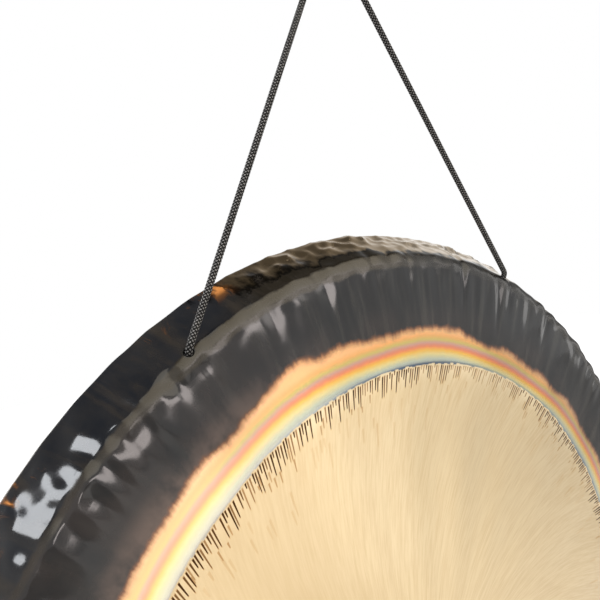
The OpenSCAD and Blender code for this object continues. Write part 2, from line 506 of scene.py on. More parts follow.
# Round corner between two lines that meet at a point: an arc that touches both
def roundCorner(corner, towardsStart, towardsEnd, radius, steps=24):
    half = 0.5 * math.acos(float(np.clip(towardsStart @ towardsEnd, -1, 1)))
    bisector = (towardsStart + towardsEnd) / np.linalg.norm(towardsStart + towardsEnd)
    middle = corner + bisector * radius / math.sin(half)
    first = corner + towardsStart * radius / math.tan(half) - middle
    last = corner + towardsEnd * radius / math.tan(half) - middle
    sweep = math.pi - 2 * half
    share = np.linspace(0.0, 1.0, steps)[:, None]
    return middle + (np.sin((1 - share) * sweep) * first + np.sin(share * sweep) * last) / math.sin(sweep)


# Half of the cord's route: the bight's top, down the right run, through the hole and round the knot
def rightHalf(sizes):
    reach = math.hypot(flexPoint[0], sizes["rise"])
    lean = math.atan2(flexPoint[0], sizes["rise"]) - math.asin(sizes["bightRadius"] / reach)
    turn = np.linspace(math.pi / 2, lean, 24)[:, None]
    rod = np.array([0.0, 0.0, sizes["rodHeight"]])
    bight = rod + sizes["bightRadius"] * np.hstack([np.cos(turn), 0 * turn, np.sin(turn)])
    upwards = bight[-1] - flexPoint
    upwards = upwards / np.linalg.norm(upwards)
    corner = roundCorner(flexPoint, upwards, -holeAxis, sizes["bendRadius"])
    slope = holeTilt - faceSlope
    top = np.array(knot["tuck"][0]) * sizes["diameter"]
    room = bendRadius - plate["sheet"] - sizes["diameter"] / 2 - sizes["knotGap"]
    seat = (room + top[1] * math.sin(slope)) / math.cos(slope) - top[2]
    route = np.vstack([knot["down"], knot["back"], knotTurn(knot), knot["tuck"], knot["tail"]])
    inside = spline(route * sizes["diameter"] + np.array([0, 0, seat]), 12)
    return np.vstack([bight, corner, fromHole(inside)])


# Heights of a round braid: two families of round strands cross, each over the other in turn
def braidHeight(around, along, sizes):
    strands = sizes["strands"]
    first = strands * around / (2 * math.pi) + strands * along / sizes["pitch"]
    second = strands * around / (2 * math.pi) - strands * along / sizes["pitch"]

    # Round back of a strand: a half ellipse across it
    def crown(phase):
        return np.sqrt(np.clip(1 - (2 * (phase - np.floor(phase)) - 1) ** 2 * 0.96, 0, 1))

    over = 0.5 + 0.5 * np.cos(math.pi * (np.floor(first) + np.floor(second)))
    middleFirst = np.sin(math.pi * (second - np.floor(second)))
    middleSecond = np.sin(math.pi * (first - np.floor(first)))
    heightFirst = crown(first) * (0.55 + 0.45 * (2 * over - 1) * middleFirst)
    heightSecond = crown(second) * (0.55 - 0.45 * (2 * over - 1) * middleSecond)
    return np.maximum(heightFirst, heightSecond)


# Rings of a tube along a path: each ring's side is the last one's, turned with the path
def carrySides(path):
    tangent = np.gradient(path, axis=0)
    tangent /= np.linalg.norm(tangent, axis=1)[:, None]
    side = np.cross(tangent[0], [0.0, 1.0, 0.3])
    sides = np.empty_like(path)
    for place, direction in enumerate(tangent):
        side = side - (side @ direction) * direction
        side = side / np.linalg.norm(side)
        sides[place] = side
    return tangent, sides


# The cord: a circle with the braid's heights carried along the route, closed by a rounded tip at each end
def makeCord(sizes):
    half = rightHalf(sizes)
    path = evenly(np.vstack([half[:0:-1] * mirror, half]), sizes["ringStep"])
    tangent, side = carrySides(path)
    other = np.cross(tangent, side)
    count, sides = len(path), sizes["sides"]
    along = (np.arange(count) * sizes["ringStep"])[:, None]
    around = (np.arange(sides) / sides * 2 * math.pi)[None, :]
    height = braidHeight(around + 0 * along, along + 0 * around, sizes)
    radius = sizes["diameter"] / 2 + sizes["relief"] * (height - sizes["sunk"])
    fromEnd = np.minimum(along, along[::-1])
    tip = np.clip(fromEnd / sizes["tipLength"], 0, 1)
    radius = radius * np.sqrt(np.clip(1 - (1 - tip) ** 2, 0.02, 1))
    grid = path[:, None] + radius[..., None] * (np.cos(around)[..., None] * side[:, None]
                                                + np.sin(around)[..., None] * other[:, None])
    mesh = gridMesh("hangingCord", [grid], path[0], path[-1])
    for name, values in (("sideCosine", np.cos(around)), ("sideSine", np.sin(around)), ("cordRun", along)):
        addAttribute(mesh, name, np.append(np.broadcast_to(values, height.shape), [0.0, 0.0]))
    length = float(wayAlong(path)[-1])
    stride = max(1, int(round(sizes["pathStep"] / sizes["ringStep"])))
    return addObject("hangingCord", mesh), np.vstack([path[:-1:stride], path[-1]]), length


nylon = {
    "colour": (12, 11, 11),
    # painted shade between the strands
    "paintedValleyShade": (3, 3, 3),
    # painted highlights on the strands' tops
    "paintedGlint": (152, 150, 149),
    "roughness": (0.5, 0.72),
    "shine": 0.1,
    "bump": (0.35, 0.0001),  # strength, and metres for a height of 1
}


# Black braid: the same two families of strands as the shape, with a painted highlight along each strand's
# top and painted shade in the valleys between the strands
def cordMaterial(values, sizes):
    material, tree, shader = makeMaterial("blackNylonBraid")
    around = calc("ARCTAN2", attribute(tree, "sideSine"), attribute(tree, "sideCosine"))
    turn = around * (sizes["strands"] / (2 * math.pi))
    run = attribute(tree, "cordRun") * (sizes["strands"] / sizes["pitch"])
    first, second = turn + run, turn - run
    over = calc("PINGPONG", calc("FLOOR", first) + calc("FLOOR", second), 1.0)
    across = calc("ABSOLUTE", calc("FRACT", first) - 0.5)
    length = calc("ABSOLUTE", calc("FRACT", second) - 0.5)
    wide, long = blendNumber(over, length, across), blendNumber(over, across, length)
    place = objectPlace(tree)
    mottle = grain(place, 700.0, 3.0)
    # painted highlights: a light dash on the top of the strand that lies over
    dash = ease(wide, 0.3, 0.06) * ease(long, 0.44, 0.22) * ease(mottle, 0.3, 0.6, 0.4, 1.0)
    dress(shader, {"Base Color": coats(values, "paintedValleyShade", (ease(wide, 0.5, 0.3), "colour"), (dash, "paintedGlint")),
                   "Specular IOR Level": values["shine"],
                   "Roughness": ease(mottle, 0.3, 0.7, *values["roughness"]),
                   "Normal": relief(grain(place, 2600.0), *values["bump"])})
    return material


cord, cordPath, cordLength = makeCord(cordSizes)
cord.data.materials.append(cordMaterial(nylon, cordSizes))
print("cord made,", round(cordLength, 3), "m,", len(cord.data.polygons), "faces")


# Gong plate

hammering = {
    "rimCell": 0.0105,  # size of a hammer mark on the rim
    "rimDent": 0.0048,
    "rimWave": 0.0007,
    # share of the marks by angle in degrees
    "hammered": [(-180, 0.8), (-120, 0.7), (-75, 0.2), (-45, 0.03), (-28, 0.06), (-19, 0.4), (-13, 1),
                 (-5, 1.4), (8, 1.5), (20, 1.4), (40, 1), (70, 0.8), (130, 0.9)],
    "wedges": 70,  # radial blows round the shoulder
    "wedgeDepth": 0.0018,
    "pleats": 130,  # narrower ones
    "pleatDepth": 0.001,
    "lumps": 0.0005,  # unevenness of the bend
    "lumpy": [(-180, 1), (-30, 1), (-20, 0.6), (-8, 0.4), (4, 0.45), (20, 0.7), (90, 1)],
    "bandStart": 0.33,  # radius where the unevenness of the dark band begins
    "bandWave": 0.0003,
    "rimBow": 0.0008,  # how far the middle of the rim stands out
    "rollOff": 0.0011,  # how far the face sinks where it runs into the bend
    "rollWidth": 0.01,
    "rolled": [(-180, 0.6), (-70, 0.7), (-36, 0.45), (-31, 0.25), (-26, 0.2), (-18, 0.15), (-5, 0.05),
               (20, 0.05), (50, 0.3), (120, 0.5)],
    # share of the wedges' depth by angle
    "struck": [(-180, 0.9), (-70, 0.9), (-46, 0.55), (-40, 0.35), (-24, 0.15), (-16, 0.06), (10, 0.03),
               (40, 0.03), (70, 0.8), (120, 1)],
    # blows near the top: angle and half width in degrees, reach in metres, share of the depth
    "blows": [(-36.6, 1, 0.03, 0.5), (-32, 1.2, 0.03, 0.6), (-29.3, 0.8, 0.02, 0.5),
              (-25.6, 0.8, 0.05, 1), (-24.2, 0.5, 0.03, 0.5), (-16.4, 1.9, 0.035, 1.1),
              (-8, 1.5, 0.035, 0.8), (0, 0.5, 0.05, 0.4), (6.2, 0.5, 0.04, 0.5), (17.1, 0.5, 0.05, 0.7),
              (25.2, 0.7, 0.06, 0.9), (27.6, 0.5, 0.03, 0.5), (38, 0.5, 0.05, 0.5)],
    "blowDepth": 0.0016,
    "faceWave": 0.0003,
    "backCell": 0.036,  # size of a hammer mark on the back
    "backDent": 0.0045,
    "rimFade": 0.018,  # way up the rim over which the marks begin
    "bendWidth": 0.011,  # half width of the lumps along the bend
    "smoothInFront": (0.005, 0.016),  # distances from a cord hole over which the marks begin
    "smoothBehind": (0.02, 0.05),
    "bendRows": 14,
    "seed": 7,
}


# Section rows from the middle of the front round the edge to the middle of the back: radius and depth,
# outward direction of the sheet, way out along the sheet, and arc length from the first row
def plateSection(sizes, bendRows):
    lathed, sheet, face = sizes["lathedRadius"], sizes["sheet"], faceEdge[0]
    # rows stand far apart on the plain gold, close at the lathed edge and towards the shoulder
    frontRadii = np.concatenate([
        [0.006, 0.04, 0.1, 0.16, 0.22, 0.265, 0.288],
        [lathed - 0.0022, lathed - 0.0003, lathed + 0.0003, lathed + 0.0024],
        np.linspace(0.304, 0.332, 6), np.linspace(0.337, face, 13)])
    backRadii = np.concatenate([np.linspace(face, 0.34, 6), np.linspace(0.331, 0.015, 36), [0.006]])

    # The face's crown is a parabola
    def depth(radius):
        return faceEdge[1] + (radius ** 2 / face - face) * math.tan(faceSlope) / 2

    # Direction square to that parabola
    def facing(radius):
        slope = np.arctan(radius * math.tan(faceSlope) / face)
        return np.stack([np.sin(slope), -np.cos(slope)], -1)

    # Points of a circle between two angles, and their directions from its middle
    def arc(middle, radius, start, end, steps):
        angle = np.linspace(start, end, steps)
        out = np.stack([np.cos(angle), np.sin(angle)], -1)
        return middle + radius * out, out

    cut = sizes["latheCut"] * (frontRadii < lathed)
    front = np.stack([frontRadii, depth(frontRadii) + cut], -1)
    shoulder, shoulderOut = arc(shoulderMid, bendRadius, faceSlope - math.pi / 2, -flare, bendRows)
    rimStart = shoulderMid + bendRadius * rimOut
    rimLength = rimRun - sheet / 2
    outwards, inwards = np.linspace(0.0, 1.0, 19)[1:-1], np.linspace(1.0, 0.0, 8)[1:-1]
    rim = rimStart + outwards[:, None] * rimLength * rimAlong
    edgeMid = rimStart + rimLength * rimAlong - rimOut * sheet / 2
    edge, _ = arc(edgeMid, sheet / 2, -flare, math.pi - flare, 7)
    innerRim = rimStart - sheet * rimOut + inwards[:, None] * rimLength * rimAlong
    innerBend, innerOut = arc(shoulderMid, bendRadius - sheet, -flare, faceSlope - math.pi / 2, 6)
    back = np.stack([backRadii, depth(backRadii)], -1) - sheet * facing(backRadii)
    points = np.vstack([front, shoulder[1:], rim, edge, innerRim, innerBend, back[1:]])
    straight = np.broadcast_to(rimOut, (len(rim) + len(edge) + len(innerRim), 2))
    out = np.vstack([facing(frontRadii), shoulderOut[1:], straight, innerOut, facing(backRadii)[1:]])
    rimWay = face + bendArcLength
    wayOut = np.concatenate([
        frontRadii, face + np.linspace(0, bendArcLength, bendRows)[1:], rimWay + outwards * rimLength,
        np.full(len(edge), rimWay + rimLength), rimWay + inwards * rimLength,
        face + np.linspace(bendArcLength, 0.0, 6), backRadii[1:]])
    arcLength = points[0, 0] + wayAlong(points)
    rimRow = len(front) + bendRows - 1
    edgeRow = rimRow + len(rim)
    marks = {"shoulder": arcLength[len(front) - 1], "rim": arcLength[rimRow - 1],
             "edge": arcLength[edgeRow + len(edge) // 2], "frontRows": edgeRow + len(edge)}
    return points, out, wayOut, arcLength, marks


# From here the angles are a row and the ways out a column, so that together they make a grid.
# Smooth unevenness that closes on itself: a sum of waves with whole numbers of crests round the gong
def waves(angle, wayOut, seed, fewest, most, length, count):
    draw = np.random.default_rng(seed)
    crests = draw.integers(fewest, most + 1, count)
    along = draw.normal(0.0, 2 * math.pi / length, count)
    phase = draw.uniform(0, 2 * math.pi, count)
    total = 0.0
    for crest, run, start in zip(crests, along, phase):
        total += np.cos(crest * angle + run * wayOut + start)
    return total * math.sqrt(2.0 / count)


# Hammer marks: shallow bowls round scattered points that run softly into each other.
# The two coordinates count the cells, and the pattern repeats after the given numbers of them.
# The height is the softened least squared distance to a point, times the mean size of the near marks.
def hammerMarks(u, v, columns, rows, seed, sharp=4.5):
    draw = np.random.default_rng(seed)
    jitter = draw.uniform(0.1, 0.9, (columns, rows, 2))
    size = draw.uniform(0.55, 1.0, (columns, rows))
    total, sized = np.zeros(u.shape), np.zeros(u.shape)
    for du in (-1, 0, 1):
        for dv in (-1, 0, 1):
            cu, cv = np.floor(u).astype(int) + du, np.floor(v).astype(int) + dv
            pick = (cu % columns, cv % rows)
            away = (u - cu - jitter[pick][..., 0]) ** 2 + (v - cv - jitter[pick][..., 1]) ** 2
            share = np.exp(-sharp * away)
            total += share
            sized += share * size[pick]
    return (np.minimum(-np.log(total) / sharp, 1.0) - 0.1) * sized / total


# Hammer marks in rows round the rim: cells by angle and by way out
def rimMarks(angle, wayOut, seed, cell):
    columns = int(round(2 * math.pi * plate["rimRadius"] / cell))
    u = angle / (2 * math.pi) * columns + 0 * wayOut
    v = wayOut / cell + 0 * angle
    return hammerMarks(u, v, columns, int(math.ceil(0.5 / cell)), seed)


# Hammer marks scattered over the flat of the back: cells by the place across and up
def backMarks(angle, wayOut, seed, cell):
    cells = int(math.ceil(2.4 * plate["rimRadius"] / cell))
    u = wayOut * np.sin(angle) / cell
    v = wayOut * np.cos(angle) / cell
    return hammerMarks(u, v, cells, cells, seed)


# Radial blows scattered round the shoulder: angle and half width in radians, reach, share of the depth
def scatterBlows(seed, count, narrowest, widest):
    draw = np.random.default_rng(seed)
    middles = (np.arange(count) + draw.uniform(-0.42, 0.42, count)) / count * 2 * math.pi
    widths = np.radians(draw.uniform(narrowest, widest, count))
    reaches = draw.uniform(0.02, 0.06, count)
    depths = draw.uniform(0.25, 1.0, count) ** 1.5
    return np.stack([middles, widths, reaches, depths], -1)


# Wedge dents: each blow is a valley from the shoulder inwards that narrows and fades towards the middle.
# On the rim's side of the shoulder it fades in proportion to the tail.
def wedges(angle, wayOut, blows, fall, tail):
    bend = faceEdge[0] + bendArcLength * 0.5
    total = 0.0
    for middle, width, reach, depth in blows:
        turn = np.abs((angle - middle + math.pi) % (2 * math.pi) - math.pi)
        way = np.clip((bend - wayOut) / reach, -0.5, 1.0)
        inside = np.clip(way, 0, 1)
        narrow = width * (1.0 - 0.6 * inside)
        strength = (1 - inside) ** fall * np.clip(1 + tail * way, 0, 1)
        total -= depth * strength * np.exp(-(turn / narrow) ** 2)
    return total


# Eased step from 0 at low to 1 at high, on arrays
def easeArray(value, low, high):
    share = np.clip((value - low) / (high - low), 0, 1)
    return share * share * (3 - 2 * share)


# How far the sheet stands out of its smooth section: hammer marks on the rim, lumps on the bend,
# wedge dents and radial waves on the dark band, hammer marks on the back
def unevenness(angle, wayOut, frontRows, values):
    bend, seed = faceEdge[0], values["seed"]
    rimStart = bend + bendArcLength
    onRim = easeArray(wayOut, bend + bendArcLength * 0.8, rimStart + values["rimFade"])
    onBand = easeArray(wayOut, values["bandStart"], bend) ** 1.4
    onBend = np.exp(-((wayOut - bend - bendArcLength * 0.5) / values["bendWidth"]) ** 2)
    rimShare = np.clip((wayOut - bend - bendArcLength) / rimRun, 0, 1)
    hammered, lumpy, struck, rolled = (roundTheGong(angle, values[key]) for key in
                                       ("hammered", "lumpy", "struck", "rolled"))
    cell = values["rimCell"]
    marks = rimMarks(angle, wayOut, seed, cell) + 0.25 * rimMarks(angle, wayOut, seed + 1, cell * 0.6)
    # fewest and most crests round the gong, length along the sheet in metres, number of waves
    broad = waves(angle, wayOut, seed + 2, 24, 80, 0.06, 40)
    face = waves(angle, wayOut, seed + 3, 3, 22, 0.22, 30)
    lumps = waves(angle, wayOut, seed + 5, 35, 110, 0.035, 60)
    radial = waves(angle, wayOut, seed + 6, 40, 150, 0.3, 50)
    total = values["rimDent"] * marks * hammered * onRim ** 2
    total += values["rimWave"] * broad * (0.15 * onBand + 0.45 * onRim)
    total += values["lumps"] * lumps * (onBend + 0.06 * onRim) * lumpy
    total += values["bandWave"] * radial * onBand * (1 - onRim) * lumpy
    broadBlows = scatterBlows(seed + 4, values["wedges"], 0.8, 2.3)
    narrowBlows = scatterBlows(seed + 8, values["pleats"], 0.45, 0.8)
    placed = np.array(values["blows"]) * np.array([math.pi / 180, math.pi / 180, 1.0, 1.0])
    total += values["wedgeDepth"] * struck * wedges(angle, wayOut, broadBlows, 1.4, 1.9)
    total += values["pleatDepth"] * struck * wedges(angle, wayOut, narrowBlows, 1.0, 1.9)
    total += values["blowDepth"] * wedges(angle, wayOut, placed, 1.0, 1.3)
    total += values["rimBow"] * (4 * rimShare * (1 - rimShare))
    total -= values["rollOff"] * (np.exp(-((wayOut - bend) / values["rollWidth"]) ** 2) * rolled)
    total += values["faceWave"] * face * easeArray(wayOut, 0.1, 0.25)
    total *= 1 - easeArray(wayOut, rimStart + rimRun * 0.72, rimStart + rimRun) * 0.6

    # Smooth round the cord holes
    fromRight, fromLeft = np.abs(angle - holeAngle), np.abs(angle - (2 * math.pi - holeAngle))
    fromHoles = np.minimum(fromRight, fromLeft) * cornerRadius
    holeWay = bend + bendRadius * (holeTilt - faceSlope)
    nearHole = np.hypot(fromHoles, wayOut - holeWay)
    total *= easeArray(nearHole, *values["smoothInFront"])

    # Hammer marks in two sizes on the back
    behind = (np.arange(len(wayOut)) >= frontRows)[:, None] * easeArray(wayOut, bend, bend - 0.03)
    cell = values["backCell"]
    dents = backMarks(angle, wayOut, seed + 9, cell)
    dents = dents + 0.4 * backMarks(angle, wayOut, seed + 10, cell * 0.62)
    dents = dents * behind * easeArray(nearHole, *values["smoothBehind"])
    return total - values["backDent"] * dents, dents


# Cutter for a cord hole: a turned shape along the hole's axis that flares at the mouth
def holeCutter(sizes, side):
    lengths, wider = np.array(sizes["holeFlare"]).T
    lengths = lengths + bendRadius - sizes["sheet"]
    radii = sizes["holeRadius"] + wider
    around = np.linspace(0, 2 * math.pi, 64, endpoint=False)
    grid = np.stack([radii[:, None] * np.cos(around), radii[:, None] * np.sin(around),
                     np.broadcast_to(lengths[:, None], (len(lengths), 64))], -1)
    ends = np.array([[0, 0, lengths[0]], [0, 0, lengths[-1]]])
    grid, ends = fromHole(grid.reshape(-1, 3)).reshape(grid.shape), fromHole(ends)
    if side < 0:
        grid, ends = grid[:, ::-1] * mirror, ends * mirror
    return addObject("holeCutter", gridMesh("holeCutter", [grid], ends[0], ends[1]))


# How the finish changes round the gong, by angle in degrees: millimetres for the shift of the heat tints
# and the dark band's edge, shares for the rest
tints = {
    "shift": [(-180, 0.3), (-120, -1), (-80, 1.6), (-50, 2.6), (-36, 2.6), (-28, 1.4), (-20, 2.5),
              (-14, 2.2), (-8, 0.2), (-2, -0.8), (8, 1.2), (13, 0.4), (20, -2.2), (25, -3.7), (34, -3.8),
              (40, -3.5), (48, -1), (54, 0.2), (65, -0.4), (100, 1.4), (140, -1.2)],
    "darkEdge": [(-180, 332), (-150, 327), (-110, 333), (-70, 328), (-45, 328), (-36, 330), (-32, 332.5),
                 (-28, 326.5), (-24, 330), (-20, 332.5), (-16, 338.5), (-12, 331.5), (-8, 332), (-3, 327),
                 (1, 326), (6, 328.5), (16, 328), (20, 321), (24, 319), (28, 323.5), (35, 320.5),
                 (40, 323.5), (44, 319.5), (48, 326), (52, 326), (56, 321), (80, 328), (110, 324),
                 (150, 330)],
    "brownMetal": [(-180, 0.9), (-130, 0.75), (-85, 0.4), (-60, -0.3), (-42, -0.4), (-26, -0.4),
                   (-20, 0.1), (-16, 0.3), (-11, 0.5), (-4, 0.7), (3, 0.95), (9, 1.1), (20, 1.1), (45, 1),
                   (100, 1), (160, 0.9)],
    # share of the painted sheen on the bend by angle
    "paintedBendSheenShare": [(-180, 0.6), (-60, 0.3), (-42, 0.35), (-30, 0.6), (-22, 0.9), (0, 1), (4, 0.8),
                  (9, 0.2), (30, 0.1), (90, 0.5)],
    # millimetres by which the matt bend and its painted sheen start later
    "bendNarrow": [(-180, 3), (-60, 8), (-42, 6.5), (-34, 4), (-28, 0.5), (-24, 0), (20, 0), (90, 2),
                   (140, 3)],
    # share of the brown smears' brightest tone by angle; its peak by the left cord is a painted glow
    "orangeAndGlow": [(-180, 0.1), (-90, 0.3), (-56, 0.6), (-46, 0.6), (-40, 0.05), (-30, 0.05), (-27, 0.5),
               (-24, 0.1), (-21, 0.5), (-18.5, 1.3), (-16.5, 0.6), (-14, 0), (-8, -0.4), (40, -0.4),
               (80, 0.3), (130, 0.5)],
    "polish": [(-180, 0.1), (-2, 0), (6, 0.15), (13, 0.7), (28, 1), (36, 0.3), (50, 0.1), (100, 0)],
    "blueLine": [(-180, 0.5), (-60, 0.1), (-30, 0), (-14, 0.15), (-5, 0.7), (2, 1), (10, 1), (16, 0.6),
                 (30, 0.35), (60, 0.5), (110, 0.2)],
    # where the light from the left is strongest: it sets painted shade on the gold, a painted highlight on
    # the heat tints, and painted glow and fewer streaks on the dark band
    "litSide": [(-180, 0.4), (-100, 0.5), (-55, 0.9), (-36, 1), (-26, 0.7), (-18, 0.35), (-8, 0.15),
               (25, 0.05), (90, 0.3)],
}


# Values given at a few angles in degrees, joined by straight lines and smoothed all the way round
def roundTheGong(angle, pairs):
    degrees = np.degrees(angle)
    degrees = np.where(degrees > 180, degrees - 360, degrees)
    places, values = np.array(pairs, float).T
    places = np.concatenate([places - 360, places, places + 360])
    values = np.tile(values, 3)
    fine = np.arange(-540, 540, 0.5)
    joined = np.interp(fine, places, values)
    window = np.hanning(9)
    joined = np.convolve(joined, window / window.sum(), "same")
    return np.interp(degrees, fine, joined)


# The plate: the section carried round the gong, pushed out by the unevenness, with the two holes cut
def makePlate(sizes):
    section, out, wayOut, arcLength, marks = plateSection(sizes, hammering["bendRows"])
    angle = np.arange(sizes["angleSteps"]) / sizes["angleSteps"] * 2 * math.pi
    frontRows = marks["frontRows"]
    lift, dents = unevenness(angle, wayOut[:, None], frontRows, hammering)
    radius = section[:, 0, None] + out[:, 0, None] * lift
    depth = section[:, 1, None] + out[:, 1, None] * lift
    grid = np.stack([radius * np.sin(angle), depth + gongDepth, gongHeight + radius * np.cos(angle)], -1)
    frontPole = [0.0, gongDepth + depth[0].mean(), gongHeight]
    backPole = [0.0, gongDepth + depth[-1].mean(), gongHeight]
    mesh = gridMesh("gongPlate", [grid[:frontRows], grid[frontRows:, ::2]], frontPole, backPole)

    # An attribute on the front's grid, on the back's with half the columns, and on the two poles
    def addToBoth(name, values, poles):
        values = np.broadcast_to(values, lift.shape)
        front, back = values[:frontRows].ravel(), values[frontRows:, ::2].ravel()
        addAttribute(mesh, name, np.concatenate([front, back, poles]))

    addToBoth("arcLength", arcLength[:, None] / millimetre, [0.0, arcLength[-1] / millimetre])
    addToBoth("backDentShade", dents, [0.0, dents[-1].mean()])
    for name in tints:
        row = roundTheGong(angle, tints[name])
        addToBoth(name, row, [row.mean()] * 2)
    piece = addObject("gongPlate", mesh)
    for side in (1, -1):
        cutter = holeCutter(sizes, side)
        cut = piece.modifiers.new("cordHole", "BOOLEAN")
        cut.operation = "DIFFERENCE"
        cut.solver = "MANIFOLD"
        cut.object = cutter
        evaluated = piece.evaluated_get(bpy.context.evaluated_depsgraph_get())
        solid = bpy.data.meshes.new_from_object(evaluated)
        piece.modifiers.clear()
        piece.data = solid
        bpy.data.objects.remove(cutter)
    removeSlivers(piece.data)
    piece.data.set_sharp_from_angle(angle=sizes["sharpAngle"])
    return piece, marks


gong, arcMarks = makePlate(plate)
print("gong plate made,", sum(len(face.vertices) - 2 for face in gong.data.polygons), "triangles")


bronze = {
    "gold": (231, 209, 167),
    "goldDark": (217, 192, 148),
    "goldPaintedShade": (203, 177, 133),  # painted shade on the gold where the light from the left is strongest
    "dash": (54, 24, 1),
    "burr": (158, 98, 26),
    # painted highlight: the gold lighter towards its edge, for light on the strokes' raised lips
    "edgePaintedHighlight": (246, 228, 190),
    "goldRoughness": 0.26,  # where the streaks are faintest
    "slant": 0.0019,  # radians in a millimetre by which the gold's streaks lean
    "strokeSlant": 0.0011,
    "strokes": [
        # how many round, nearest and furthest start and least and greatest length in millimetres,
        # share that is there, number of the draw, strength
        (680.0, -0.4, 0.8, 4.0, 20.0, 0.97, 3.0, 1.0),
        (600.0, 4.0, 18.0, 4.0, 12.0, 0.25, 8.0, 0.75),
        (420.0, 12.0, 44.0, 8.0, 24.0, 0.4, 5.0, 0.35)],
    "teeth": 460.0,  # steps round the gold's jagged edge
    "toothDepth": 1.5,
    "blueLine": (74, 92, 114),
    "ring": [(0, (146, 156, 160)), (1.2, (164, 172, 168)), (3.8, (194, 201, 178)), (7.3, (236, 215, 144)),
             (10.4, (250, 192, 70)), (13, (242, 144, 84)), (14.4, (228, 136, 106)),
             (16.6, (208, 156, 136)), (19.3, (208, 184, 98)), (22.6, (241, 174, 96)),
             (26, (246, 184, 120))],
    "ringWidth": 26.0,  # millimetres from the gold's edge to the peach
    "peach": (244, 180, 118),
    # painted highlight on the heat tints where the light is strongest
    "palePaintedHighlight": (248, 222, 190),
    "scorch": (132, 84, 52),
    "dark": (12, 12, 13),
    "darkStreak": (46, 45, 42),
    # painted soft highlight in clouds on the dark band's lit side
    "darkPaintedGlow": (96, 80, 72),
    # painted sheen on the bend, in place of its reflection
    "paintedBendSheen": (54, 47, 34),
    "bendRoughness": 0.22,
    "bendRagged": 9.0,  # millimetres that the matt bend's edges wander
    "flames": 8.0,  # the same for the dark band's edge, and for its hairs
    "hairs": 3.0,
    "rim": (32, 32, 34),
    "rimBrown": (92, 58, 30),
    # the smears' brightest tone; by the left cord it is a painted glow
    "rimOrangeGlow": (196, 128, 66),
    "rimWorn": (176, 152, 118),
    "rimBright": (222, 206, 184),
    "rimCool": (23, 25, 30),
    "rimSmear": (48, 43, 38),
    "rimWarm": (30, 26, 19),
    "back": (92, 74, 56),
    # painted light on the ridges between the back's hammer marks
    "backPaintedLight": (138, 110, 78),
    "backSoot": (44, 40, 38),
    "coatRoughness": 0.15,
    "bump": (0.6, 0.0006),
}
